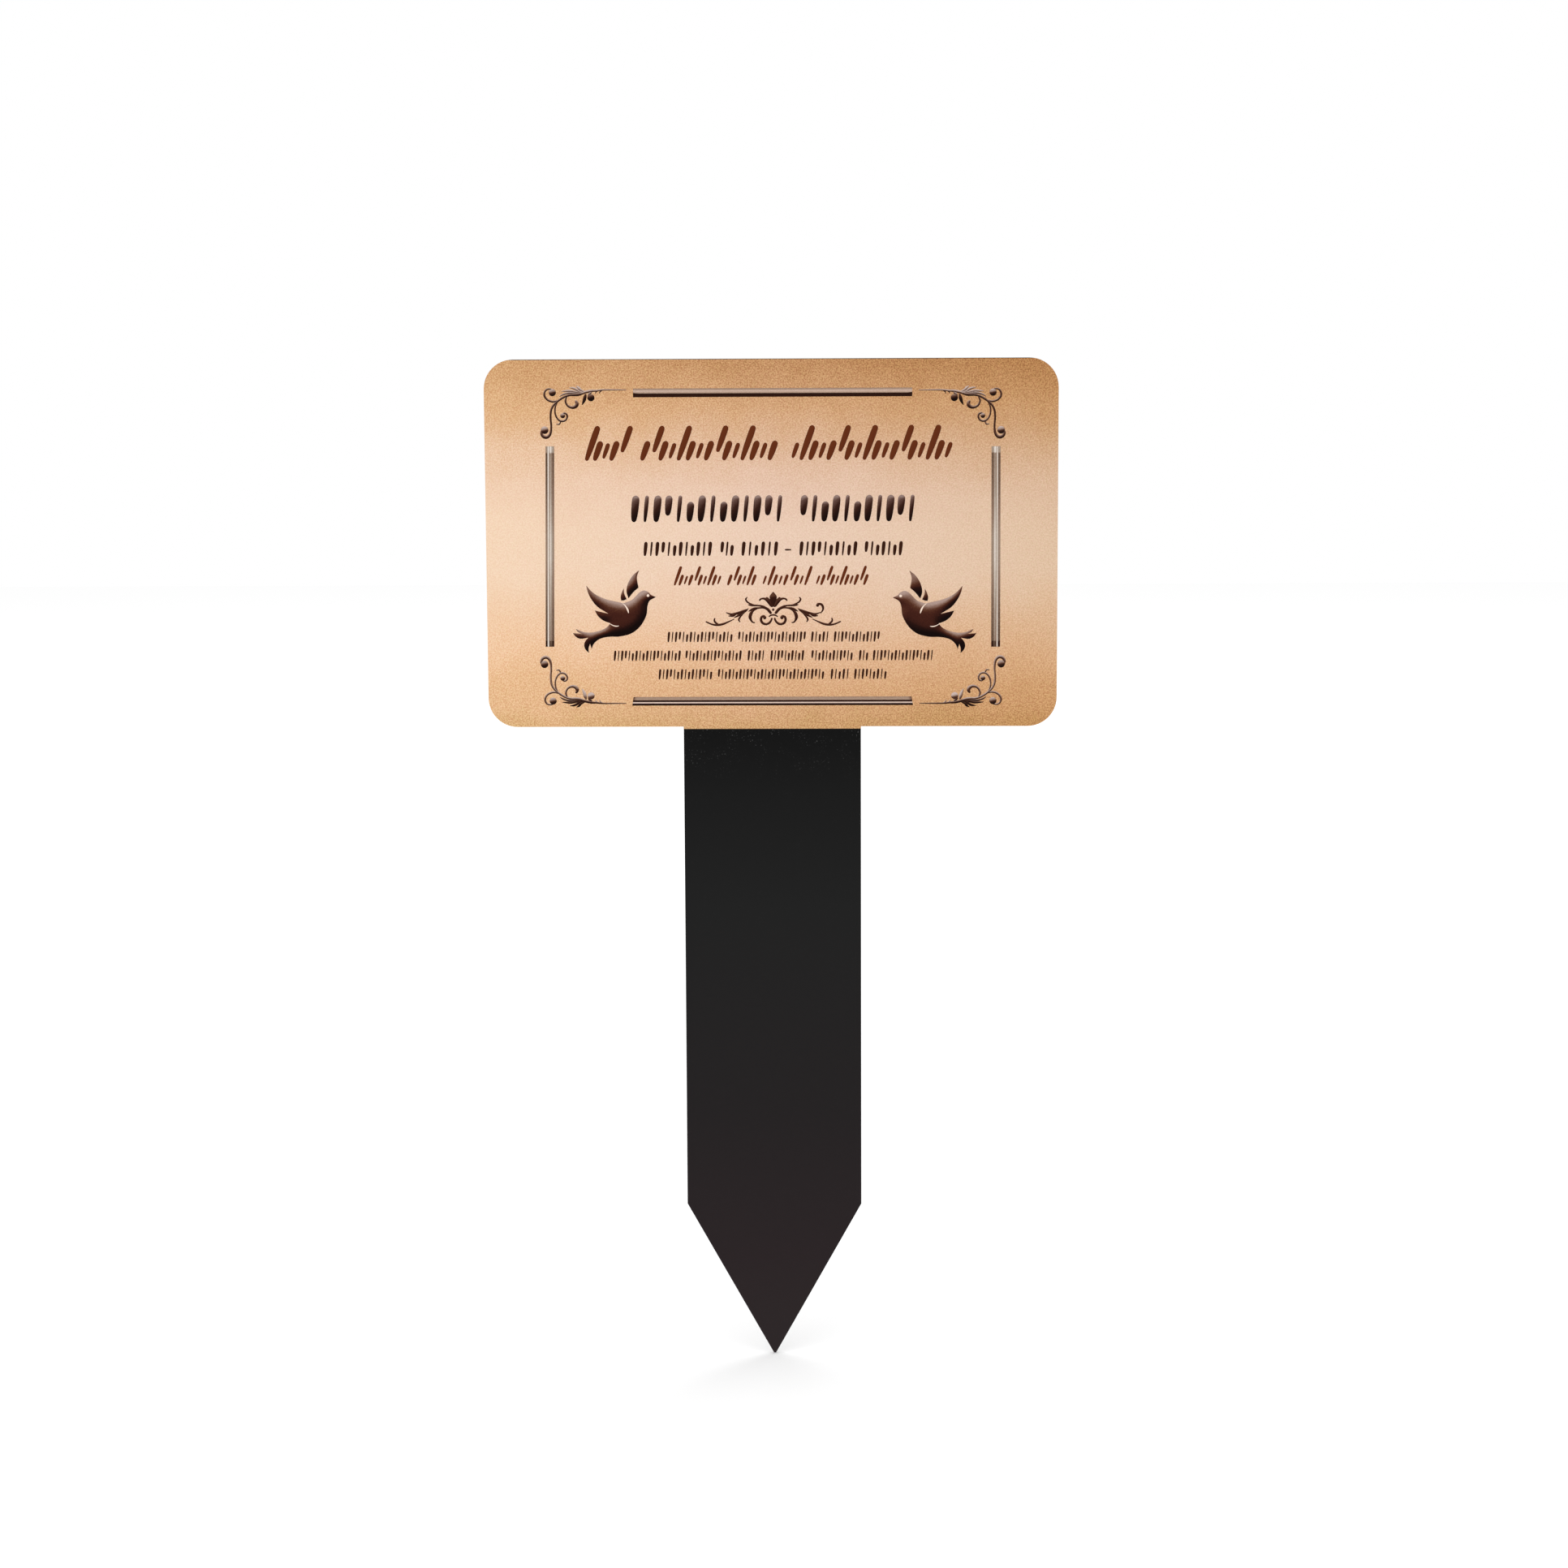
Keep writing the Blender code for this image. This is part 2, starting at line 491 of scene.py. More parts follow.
def smooth_path(points: Sequence[tuple[float, ...]], step: float) -> np.ndarray:
    """Draw a smooth line through points, with every column carried along.

    Args:
        points: Rows that start with across and up.
        step: The distance between samples.

    Returns:
        The samples, one row each.
    """
    rows = np.array(points, float)
    if len(rows) < 3:
        count = max(2, int(np.hypot(*(rows[1, :2] - rows[0, :2])) / step) + 1)
        mix = np.linspace(0, 1, count)[:, None]
        return rows[0] * (1 - mix) + rows[1] * mix
    padded = np.vstack([2 * rows[0] - rows[1], rows, 2 * rows[-1] - rows[-2]])
    samples = []
    for a, b, c, d in zip(padded, padded[1:], padded[2:], padded[3:]):
        count = max(2, int(round(np.hypot(*(c[:2] - b[:2])) / step)))
        t = (np.arange(count) / count)[:, None]
        part = 2 * b + (c - a) * t + (2 * a - 5 * b + 4 * c - d) * t**2 + (3 * b - a - 3 * c + d) * t**3
        samples.append(part / 2)
    samples.append(rows[-1:])
    return np.vstack(samples)


@dataclass(frozen=True)
class Place:
    """Where a drawing lies on the face: its own zero point, and whether it is turned over."""

    across: float = 0.0
    up: float = 0.0
    flip_across: bool = False
    flip_up: bool = False

    def put(self, points: np.ndarray) -> np.ndarray:
        """Move a drawing's points to their place on the face.

        Args:
            points: Rows that start with across and up.

        Returns:
            The moved rows, with their other columns kept.
        """
        signs = np.array([-1.0 if self.flip_across else 1.0, -1.0 if self.flip_up else 1.0])
        moved = points.copy()
        moved[:, :2] = points[:, :2] * signs + np.array([self.across, self.up])
        return moved


@dataclass(frozen=True)
class Stroke:
    """One brush stroke: across, up and width at each point that it passes, in millimetres."""

    path: tuple[Triple, ...]
    lift: float = 0.0


@dataclass(frozen=True)
class Ball:
    """A round drop at the end of a curl, in millimetres."""

    across: float
    up: float
    radius: float
    lift: float = 0.0


@dataclass
class InkLayer:
    """Strokes and drops that are modelled round, shaded from their own normals and pressed flat.

    Flatness is what pressing leaves of the depth, and spread is added to every radius, as ink
    spreads. The least values keep a brush from thinning to nothing, at its ends too. Contrast and
    steepness say how the tone follows the light, which comes from across and up.
    """

    name: str
    finish: Ink
    place: Place = Place()
    flatness: float = 0.1
    spread: float = 0.0
    step: float = 0.16
    sides: int = 3
    ball_sides: int = 24
    least_width: float = 0.03
    least_end: float = 0.02
    least_taper: float = 0.04
    contrast: float = 0.5
    steepness: float = 0.7
    light: Pair = (-0.2, 0.98)
    slot: Slot = Slot.BROWN_INK
    parts: list[Piece] = field(default_factory=list)

    def shade(self, part: Piece, lift: float) -> None:
        """Write the tone of a round part from the way its surface turns.

        Args:
            part: The part, before it is pressed flat.
            lift: How much lighter than the middle tone it is.
        """
        normals = vertex_array(part, "normal")
        turned = normals[:, 0] * self.light[0] + normals[:, 2] * self.light[1]
        steep = np.sign(turned) * np.abs(turned) ** self.steepness
        write_tone(part, MIDDLE_TONE + lift + self.contrast * steep)

    def add_strokes(self, strokes: Sequence[Stroke]) -> None:
        """Sweep a round brush along each stroke.

        Args:
            strokes: The strokes, in the drawing's own millimetres.
        """
        for lift in sorted({stroke.lift for stroke in strokes}):
            data = bpy.data.curves.new(self.name, "CURVE")
            data.dimensions = "3D"
            data.bevel_depth = MM
            data.bevel_resolution = self.sides
            data.use_fill_caps = True
            for stroke in strokes:
                if stroke.lift == lift:
                    self.add_spline(data, stroke)
            curve = new_object(self.name, data)
            make_active(curve)
            bpy.ops.object.convert(target="MESH")
            part = bpy.context.object
            edit_all(part)
            bpy.ops.mesh.remove_doubles(threshold=CAP_WELD)
            bpy.ops.object.mode_set(mode="OBJECT")
            self.shade(part, lift)
            self.parts.append(part)

    def add_spline(self, data: bpy.types.Curve, stroke: Stroke) -> None:
        """Add one stroke to the curve, with round ends where it isn't drawn to a point.

        Args:
            data: The curve.
            stroke: The stroke, in the drawing's own millimetres.
        """
        rows = self.place.put(smooth_path(stroke.path, self.step))
        steps = np.hypot(*np.diff(rows[:, :2], axis=0).T)
        passed = np.concatenate([[0.0], np.cumsum(steps)])
        first, last = rows[0, 2] / 2, rows[-1, 2] / 2
        close = np.array(END_SHARES)
        along = np.unique(np.concatenate([passed, first * close, passed[-1] - last * close]))
        rows = np.stack([np.interp(along, passed, rows[:, k]) for k in range(3)], axis=1)
        half = np.maximum(rows[:, 2], self.least_width) / 2
        for distance, end in ((along, half[0]), (along[-1] - along, half[-1])):
            near = np.clip(distance / max(end, self.least_end), 0.0, 1.0)
            half = half * np.sqrt(np.clip(1 - (1 - near) ** 2, self.least_taper, 1.0))
        spline = data.splines.new("POLY")
        spline.points.add(len(rows) - 1)
        for point, (across, up, _), reach in zip(spline.points, rows, half):
            point.co = (across * MM, 0.0, HEAD_LOW_Z + up * MM, 1.0)
            point.radius = reach + self.spread

    def add_balls(self, balls: Sequence[Ball]) -> None:
        """Add a round drop for each ball.

        Args:
            balls: The drops, in the drawing's own millimetres.
        """
        for ball in balls:
            across, up = self.place.put(np.array([[ball.across, ball.up]]))[0]
            deselect_all()
            bpy.ops.mesh.primitive_uv_sphere_add(
                segments=self.ball_sides,
                ring_count=self.ball_sides // 2,
                radius=(ball.radius + self.spread) * MM,
                location=(across * MM, 0.0, HEAD_LOW_Z + up * MM),
            )
            part = bpy.context.object
            self.shade(part, ball.lift)
            self.parts.append(part)

    def finish_piece(self) -> Piece:
        """Press the parts flat on the film and give them their ink.

        Returns:
            The finished piece.
        """
        piece = join_pieces(self.parts, self.name)
        edit_all(piece)
        bpy.ops.transform.resize(value=(1.0, self.flatness, 1.0), center_override=(0.0, 0.0, 0.0))
        bpy.ops.transform.translate(value=(0.0, FILM_Y, 0.0))
        bpy.ops.mesh.normals_make_consistent(inside=False)
        bpy.ops.object.mode_set(mode="OBJECT")
        return dress(piece, self.finish)


MATERIALS: dict[str, bpy.types.Material] = {}


def material_of(finish: PowderCoat | BronzePrint | Ink) -> bpy.types.Material:
    """Make a finish's material once, and give the same one again.

    Args:
        finish: The finish.

    Returns:
        Its material.
    """
    if finish.name not in MATERIALS:
        MATERIALS[finish.name] = finish.build()
    return MATERIALS[finish.name]


def dress(piece: Piece, finish: BronzePrint | Ink) -> Piece:
    """Give a new piece its material and the body it rides on.

    Args:
        piece: The finished mesh object.
        finish: Its finish.

    Returns:
        The piece.
    """
    piece.data.materials.clear()
    piece.data.materials.append(material_of(finish))
    make_active(piece)
    bpy.ops.object.shade_smooth()
    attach(piece, "root")
    LOG.info("%s: %d faces", piece.name, len(piece.data.polygons))
    return piece


@dataclass
class Sheet:
    """The steel sheet, which is the CAD node, and the printed film on its head."""

    rim_reach: float = -0.2
    sharp_angle: float = 40.0

    def coat(self) -> None:
        """Give the CAD node its powder coat."""
        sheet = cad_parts[SHEET_NODE]
        for slot in sheet.material_slots:
            slot.material = material_of(POWDER_COAT)
        LOG.info("%s: powder coat", sheet.name)

    def lay_film(self) -> Piece:
        """Copy the head's front and its rounded rim, and thicken the copy outwards.

        Returns:
            The film.
        """
        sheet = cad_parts[SHEET_NODE]
        film = new_object("bronze_print_film", sheet.data.copy())
        edit_all(film)
        bpy.ops.mesh.remove_doubles(threshold=COPY_WELD)
        for height, below in ((PRINT_LOW_Z, True), (PRINT_TOP_Z, False)):
            bpy.ops.mesh.select_all(action="SELECT")
            bpy.ops.mesh.bisect(
                plane_co=(0.0, 0.0, height),
                plane_no=(0.0, 0.0, 1.0),
                clear_inner=below,
                clear_outer=not below,
                threshold=COPY_WELD,
            )
        bpy.ops.mesh.select_all(action="DESELECT")
        bpy.ops.mesh.select_mode(type="FACE")
        shape = bmesh.from_edit_mesh(film.data)
        for face in shape.faces:
            face.select_set(face.normal.y > self.rim_reach)
        bmesh.update_edit_mesh(film.data)
        bpy.ops.mesh.delete(type="FACE")
        bpy.ops.mesh.select_all(action="SELECT")
        bpy.ops.mesh.customdata_custom_splitnormals_clear()
        bpy.ops.mesh.mark_sharp(clear=True)
        bpy.ops.object.mode_set(mode="OBJECT")
        wall = film.modifiers.new("film_thickness", "SOLIDIFY")
        wall.thickness = FILM_THICKNESS
        wall.offset = 1.0
        wall.use_even_offset = True
        bpy.ops.object.modifier_apply(modifier=wall.name)
        film = dress(film, BRONZE_PRINT)
        bpy.ops.object.shade_smooth_by_angle(angle=math.radians(self.sharp_angle))
        return film


@dataclass(frozen=True)
class Band:
    """One stripe of a bar: where it starts and ends across the bar, and its tone at both.

    A flared stripe widens towards the bar's ends. The last number says how strongly the stripe
    follows the changes of tone along the bar.
    """

    start: float
    end: float
    tone_start: float
    tone_end: float
    flare: float = 0.0
    follow: float = 1.0


@dataclass
class FrameBar:
    """A straight bar of the border, drawn as if it stood up from the face.

    Low and high are its corners. Along tones are changes of tone at distances from its start. The
    mitre shortens the outer stripes at both ends, and the splay leans an upright bar's foot.
    """

    name: str
    low: Pair
    high: Pair
    upright: bool
    bands: tuple[Band, ...]
    along_tones: tuple[Pair, ...] = ((0.0, 0.0), (100.0, 0.0))
    mitre: float = 0.0
    splay: float = 0.0
    finish: Ink = BAR_INK
    flare_length: float = 1.4
    end_marks: tuple[float, ...] = (0.0, 0.3, 0.6, 1.0)
    thickness: float = 0.03
    flared_rise: float = 1.15
    steps_over: int = 3

    def build(self) -> Piece:
        """Model each stripe from a grid, give it its thickness and join them.

        Returns:
            The bar.
        """
        parts = [self.stripe(band) for band in self.bands]
        piece = join_pieces(parts, self.name)
        return dress(piece, self.finish)

    def stations(self, length: float) -> np.ndarray:
        """Find the places along the bar where its tone or its width changes.

        Args:
            length: The bar's length.

        Returns:
            The places in rising order.
        """
        ends = [*self.end_marks, self.flare_length]
        marks = [mark for mark, _ in self.along_tones if mark < length]
        return np.unique(ends + [length - end for end in ends] + marks)

    def stripe(self, band: Band) -> Piece:
        """Model one stripe.

        Args:
            band: The stripe's place and tones.

        Returns:
            The stripe as a closed mesh.
        """
        length = self.high[1] - self.low[1] if self.upright else self.high[0] - self.low[0]
        marks = self.stations(length)
        deselect_all()
        bpy.ops.mesh.primitive_grid_add(
            x_subdivisions=len(marks) - 1, y_subdivisions=self.steps_over, size=1.0
        )
        part = bpy.context.object
        places = vertex_array(part, "co")
        number = np.round((places[:, 0] + 0.5) * (len(marks) - 1)).astype(int)
        over = places[:, 1] + 0.5
        reach = marks[number]
        from_end = np.minimum(reach, length - reach)
        start = band.start - band.flare * np.clip(1 - from_end / self.flare_length, 0.0, 1.0)
        side = start + over * (band.end - start)
        cut = self.mitre * np.clip(1 - side / self.bands[-1].end, 0.0, 1.0)
        run = cut + reach * (1 - 2 * cut / length)
        tones = band.tone_start + (band.tone_end - band.tone_start) * over
        tone_marks, shifts = zip(*self.along_tones)
        tones += band.follow * np.interp(reach, tone_marks, shifts)
        across = self.low[0] + run
        up = self.high[1] - side
        if self.upright:
            across = self.low[0] + side - self.splay * (1 - run / length)
            up = self.low[1] + run
        rise = self.thickness * (self.flared_rise if band.flare else 1.0)
        depth = np.full(len(places), FILM_Y - rise * MM)
        target = np.stack([across * MM, depth, HEAD_LOW_Z + up * MM], axis=1)
        part.data.vertices.foreach_set("co", target.ravel())
        write_tone(part, tones)
        thicken(part, self.thickness * LAYER_DEPTH * MM)
        return part


@dataclass
class CornerScroll:
    """The scroll in a corner of the border: a stem with three curls, leaves and a berry."""

    name: str
    place: Place
    strokes: tuple[Stroke, ...] = (
        Stroke((
            (39.25, 42.55, 0.12), (41.94, 42.56, 0.24), (44.79, 42.57, 0.32), (46.13, 42.52, 0.38),
            (47.3, 42.36, 0.46), (48.65, 42.3, 0.62), (49.99, 42.05, 0.7), (51.2, 41.7, 0.55),
            (52.6, 41.5, 0.2),
        ), 0.16),
        Stroke((
            (50.3, 41.8, 0.2), (52.01, 41.38, 0.72), (53.02, 41.27, 0.72), (54.36, 41.23, 0.6),
            (55.71, 40.87, 0.55), (57.06, 40.12, 0.52), (58.25, 39.21, 0.5), (59.1, 38.3, 0.5),
            (59.62, 37.22, 0.5), (59.8, 35.89, 0.48), (59.79, 34.56, 0.46), (59.67, 33.22, 0.46),
            (59.73, 31.72, 0.54), (60.01, 30.72, 0.66), (60.55, 30.06, 0.76), (61.23, 29.89, 0.84),
            (61.98, 30.23, 0.78), (62.36, 31.07, 0.6), (62.2, 31.8, 0.4),
        ), -0.1),
        Stroke((
            (57.8, 39.75, 0.25), (58.92, 39.47, 0.46), (59.76, 39.59, 0.5), (60.59, 39.97, 0.5),
            (61.25, 40.72, 0.52), (61.44, 41.47, 0.5), (61.23, 42.22, 0.46), (60.72, 42.72, 0.42),
            (59.96, 42.86, 0.36), (59.29, 42.7, 0.3),
        ), -0.06),
        Stroke((
            (55.3, 41.0, 0.3), (55.72, 39.87, 0.44), (55.62, 39.12, 0.46), (55.15, 38.37, 0.52),
            (54.4, 37.95, 0.62), (53.57, 37.9, 0.78), (52.85, 38.3, 0.95), (52.62, 38.9, 0.9),
            (52.85, 39.45, 0.62), (53.1, 39.7, 0.35),
        ), -0.06),
        Stroke((
            (57.9, 39.5, 0.3), (58.46, 38.22, 0.36), (58.61, 37.05, 0.36), (58.49, 36.05, 0.38),
            (58.05, 35.05, 0.42), (57.31, 34.35, 0.46), (56.47, 34.21, 0.48), (55.71, 34.57, 0.46),
            (55.31, 35.37, 0.44), (55.52, 36.12, 0.46), (56.1, 36.38, 0.4), (56.55, 36.15, 0.3),
        ), -0.06),
        Stroke(((57.14, 34.35, 0.3), (57.23, 33.8, 0.32), (57.57, 33.38, 0.34), (58.32, 33.45, 0.14))),
        Stroke((
            (56.78, 42.2, 0.05), (55.69, 42.28, 0.4), (54.35, 42.36, 0.55), (53.01, 42.1, 0.5),
            (50.5, 41.7, 0.3),
        ), 0.3),
        Stroke((
            (54.67, 43.19, 0.05), (53.67, 43.1, 0.5), (52.83, 42.77, 0.6), (52.0, 42.18, 0.5),
            (50.5, 41.84, 0.3),
        ), 0.32),
        Stroke(((52.82, 43.6, 0.05), (52.16, 43.18, 0.6), (51.66, 42.6, 0.6), (50.4, 42.01, 0.3)), 0.34),
        Stroke((
            (57.39, 40.79, 0.05), (56.54, 41.29, 0.36), (55.36, 41.7, 0.46), (54.02, 41.8, 0.46),
            (51.34, 41.66, 0.25),
        ), 0.14),
        Stroke((
            (50.2, 41.5, 0.3), (50.45, 40.61, 0.85), (50.78, 39.52, 0.72), (51.29, 38.52, 0.05),
        ), -0.28),
        Stroke(((48.65, 42.0, 0.4), (49.3, 41.4, 0.6), (49.55, 40.84, 0.45)), 0.05),
        Stroke(((46.97, 42.33, 0.26), (47.39, 42.08, 0.28), (47.65, 41.6, 0.08)), -0.15),
        Stroke(((45.79, 42.45, 0.26), (46.3, 42.16, 0.28), (46.56, 41.58, 0.08)), -0.15),
    )
    balls: tuple[Ball, ...] = (
        Ball(61.46, 31.81, 0.98, 0.05),
        Ball(59.25, 41.88, 0.93),
        Ball(56.53, 35.66, 0.62),
        Ball(48.84, 40.47, 0.92, -0.25),
    )
    spread: float = 0.05

    def build(self) -> Piece:
        """Model the scroll. Where it is turned over, what was lighter above is darker.

        Returns:
            The scroll.
        """
        layer = InkLayer(self.name, SCROLL_INK, self.place, spread=self.spread)
        way = -1.0 if self.place.flip_up else 1.0
        layer.add_strokes([Stroke(stroke.path, way * stroke.lift) for stroke in self.strokes])
        layer.add_balls([Ball(ball.across, ball.up, ball.radius, way * ball.lift) for ball in self.balls])
        return layer.finish_piece()


@dataclass
class CentreFlourish:
    """The small flourish between the rows: a palmette over a bow, with a spray to each side."""

    name: str = "centre_flourish"
    axis: float = 0.41
    middle: tuple[Stroke, ...] = (
        Stroke((
            (0.0, 36.8, 0.05), (0.0, 36.3, 0.85), (0.0, 35.6, 1.8), (0.0, 34.95, 1.75), (0.0, 34.0, 1.15),
            (0.0, 33.1, 0.55), (0.0, 32.75, 0.35),
        )),
        Stroke(((0.0, 32.35, 0.03), (0.0, 31.96, 0.62), (0.0, 31.58, 0.03))),
        Stroke((
            (-1.22, 30.02, 0.2), (-0.66, 30.4, 0.3), (0.0, 30.53, 0.32), (0.66, 30.4, 0.3),
            (1.22, 30.02, 0.2),
        )),
    )
    side: tuple[Stroke, ...] = (
        Stroke((
            (0.05, 32.85, 0.35), (0.55, 33.0, 0.5), (0.95, 33.65, 0.75), (1.4, 34.3, 0.85),
            (2.05, 34.8, 0.65), (2.8, 34.98, 0.4), (3.44, 34.82, 0.36), (3.79, 34.34, 0.28),
        )),
        Stroke(((0.55, 33.3, 0.3), (1.15, 34.45, 0.62), (1.7, 35.1, 0.5), (1.92, 35.35, 0.05))),
        Stroke((
            (0.52, 30.82, 0.55), (1.0, 31.45, 0.68), (1.6, 32.1, 0.66), (2.9, 32.84, 0.5),
            (3.93, 33.05, 0.36), (5.33, 33.12, 0.44), (6.2, 33.22, 0.48), (6.85, 33.3, 0.05),
        )),
        Stroke((
            (5.0, 33.12, 0.24), (6.32, 33.63, 0.3), (7.09, 34.12, 0.36), (7.45, 34.82, 0.36),
            (7.03, 35.38, 0.1),
        )),
        Stroke((
            (1.8, 32.15, 0.3), (2.8, 32.46, 0.34), (3.92, 32.41, 0.34), (5.05, 32.27, 0.55),
            (5.89, 31.94, 0.48), (6.75, 31.48, 0.05),
        )),
        Stroke((
            (4.2, 32.4, 0.3), (5.33, 31.8, 0.46), (6.03, 30.95, 0.76), (6.3, 29.97, 0.8),
            (6.05, 29.12, 0.5), (5.6, 28.55, 0.3), (4.96, 28.42, 0.22),
        )),
        Stroke((
            (6.67, 32.24, 0.05), (7.58, 31.8, 0.42), (8.84, 31.3, 0.58), (10.25, 30.88, 0.56),
            (11.51, 30.73, 0.44), (12.85, 31.19, 0.1),
        )),
        Stroke(((8.42, 31.35, 0.3), (9.4, 30.45, 0.52), (10.65, 29.8, 0.08))),
        Stroke(((9.97, 30.9, 0.3), (10.95, 30.38, 0.62), (12.2, 30.22, 0.08))),
        Stroke((
            (7.02, 31.9, 0.22), (8.14, 31.02, 0.36), (8.98, 30.03, 0.38), (9.38, 29.25, 0.38),
            (9.04, 28.55, 0.12),
        )),
        Stroke((
            (10.6, 29.42, 0.08), (12.35, 28.61, 0.32), (13.76, 28.04, 0.5), (15.16, 27.83, 0.5),
            (16.57, 27.96, 0.36), (18.4, 28.73, 0.26),
        )),
        Stroke(((15.02, 27.97, 0.35), (15.73, 28.5, 0.42), (16.04, 29.09, 0.36), (15.87, 29.7, 0.22))),
        Stroke((
            (0.32, 29.72, 0.34), (0.67, 28.85, 0.46), (1.3, 28.22, 0.52), (2.08, 28.0, 0.54),
            (2.92, 28.35, 0.58), (3.34, 29.13, 0.58), (3.18, 29.9, 0.56), (2.65, 30.22, 0.44),
            (2.15, 30.05, 0.4),
        )),
    )
    bulb: tuple[Stroke, ...] = (
        Stroke((
            (12.85, 30.9, 0.1), (13.5, 31.92, 0.4), (13.45, 32.85, 0.52), (12.93, 33.42, 0.56),
            (12.25, 33.45, 0.5), (11.85, 33.22, 0.4),
        )),
    )
    side_balls: tuple[Ball, ...] = (Ball(2.33, 29.78, 0.4),)
    bulb_balls: tuple[Ball, ...] = (Ball(12.05, 33.12, 0.36),)
    spread: float = 0.07
    contrast: float = 0.4

    def build(self) -> Piece:
        """Model the middle once and the side twice, turned over for the left.

        Returns:
            The flourish.
        """
        layer = InkLayer(
            self.name, FLOURISH_INK, Place(self.axis), spread=self.spread, contrast=self.contrast
        )
        layer.add_strokes(self.middle)
        for turned in (False, True):
            layer.place = Place(self.axis, flip_across=turned)
            layer.add_strokes(self.side)
            layer.add_balls(self.side_balls)
        layer.place = Place(self.axis)
        layer.add_strokes(self.bulb)
        layer.add_balls(self.bulb_balls)
        return layer.finish_piece()


@dataclass
class Dove:
    """A flying dove in profile, wings up: body, near wing and tail in one, and a far wing behind.

    Its tone follows the edges: softly over a wide reach, and crisply close to them.
    """

    name: str
    place: Place
    figure: tuple[tuple[float, ...], ...] = (
        (-31.5, 35.6, 1), (-32.8, 36.2), (-33.5, 36.95), (-34.7, 37.4), (-35.9, 36.9), (-36.9, 35.9),
        (-38.2, 34.75), (-40.3, 33.95, 1), (-42.4, 34.4), (-44.9, 35.0), (-47.3, 36.0), (-49.0, 37.2),
        (-50.4, 38.75, 1), (-49.9, 36.75), (-48.8, 34.65), (-47.2, 32.85), (-44.4, 31.1, 1),
        (-48.15, 32.0, 1), (-47.3, 30.5), (-45.9, 29.3), (-43.9, 28.5, 1), (-45.0, 27.35), (-46.8, 26.5),
        (-49.1, 26.0), (-51.3, 26.15), (-53.4, 27.0, 1), (-52.8, 26.15), (-51.7, 25.65, 1),
        (-54.2, 25.85, 1), (-53.4, 24.85), (-52.1, 24.3), (-50.0, 24.6, 1), (-50.85, 23.6), (-51.15, 22.5),
        (-50.8, 21.35), (-49.9, 20.45, 1), (-49.95, 21.7), (-49.55, 22.95, 1), (-49.15, 21.5, 1),
        (-48.6, 22.8), (-47.5, 23.9), (-46.0, 24.55), (-43.9, 24.85), (-41.4, 24.9), (-38.2, 25.75),
        (-35.75, 27.75), (-34.15, 30.6), (-33.8, 33.1), (-33.2, 34.6),
    )
    far_wing: tuple[tuple[float, ...], ...] = (
        (-36.0, 42.9, 1), (-36.6, 40.9), (-36.2, 38.2, 1), (-37.6, 36.95), (-38.95, 35.3, 1),
        (-39.45, 37.2), (-39.0, 39.4), (-37.7, 41.5),
    )
    feather: tuple[tuple[float, ...], ...] = (
        (-40.2, 38.0, 1), (-40.1, 36.6), (-39.45, 35.05, 1), (-40.2, 34.75), (-40.95, 34.7, 1),
        (-41.05, 35.8), (-40.7, 37.0),
    )
    cream: tuple[Stroke, ...] = (
        Stroke((
            (-40.9, 34.15, 0.18), (-39.95, 33.4, 0.32), (-39.3, 32.4, 0.5), (-39.0, 31.5, 0.34),
            (-38.95, 31.0, 0.05),
        )),
        Stroke(((-44.3, 28.5, 0.2), (-43.2, 27.9, 0.32), (-42.2, 27.7, 0.34), (-41.0, 27.95, 0.05))),
    )
    eye: Ball = Ball(-33.62, 36.02, 0.38)
    fine_step: float = 0.14
    inner_step: float = 0.26
    soft_edge: float = 1.2
    crisp_edge: float = 0.28
    middle_tone: float = 0.4
    soft_tone: float = 0.68
    crisp_tone: float = 0.14
    light: Pair = (-0.3, 0.95)
    thickness: float = 0.035
    clear_share: float = 0.6
    weld: float = 0.00001
    sharp_angle: float = 30.0
    cream_flatness: float = 0.35

    def outline(self, points: tuple[tuple[float, ...], ...]) -> np.ndarray:
        """Draw a smooth closed line with sharp corners where a point is marked.

        Args:
            points: Across and up, with a third value for a sharp corner. The first is sharp.

        Returns:
            Samples along the line, on the face.
        """
        corners = [i for i, point in enumerate(points) if len(point) == 3] + [len(points)]
        loop = [point[:2] for point in points] + [points[0][:2]]
        runs = [smooth_path(loop[a : b + 1], self.fine_step)[:-1] for a, b in zip(corners, corners[1:])]
        return self.place.put(np.vstack(runs))

    def edge_pull(self, places: np.ndarray, line: np.ndarray, reach: float) -> np.ndarray:
        """Find how strongly the near edges face each point, as a blurred outward direction.

        Args:
            places: Points inside the line.
            line: The closed line, anticlockwise.
            reach: How far the edge is felt, in millimetres.

        Returns:
            One direction for each point, of length one at a straight edge.
        """
        ahead = np.roll(line, -1, axis=0)
        middle = (line + ahead) / 2
        span = ahead - line
        outward = np.stack([span[:, 1], -span[:, 0]], axis=1)
        gap = ((places[:, None, :] - middle[None, :, :]) ** 2).sum(axis=2)
        weight = np.exp(-gap / (2 * reach**2)) / (reach * math.sqrt(2 * math.pi))
        return weight @ outward

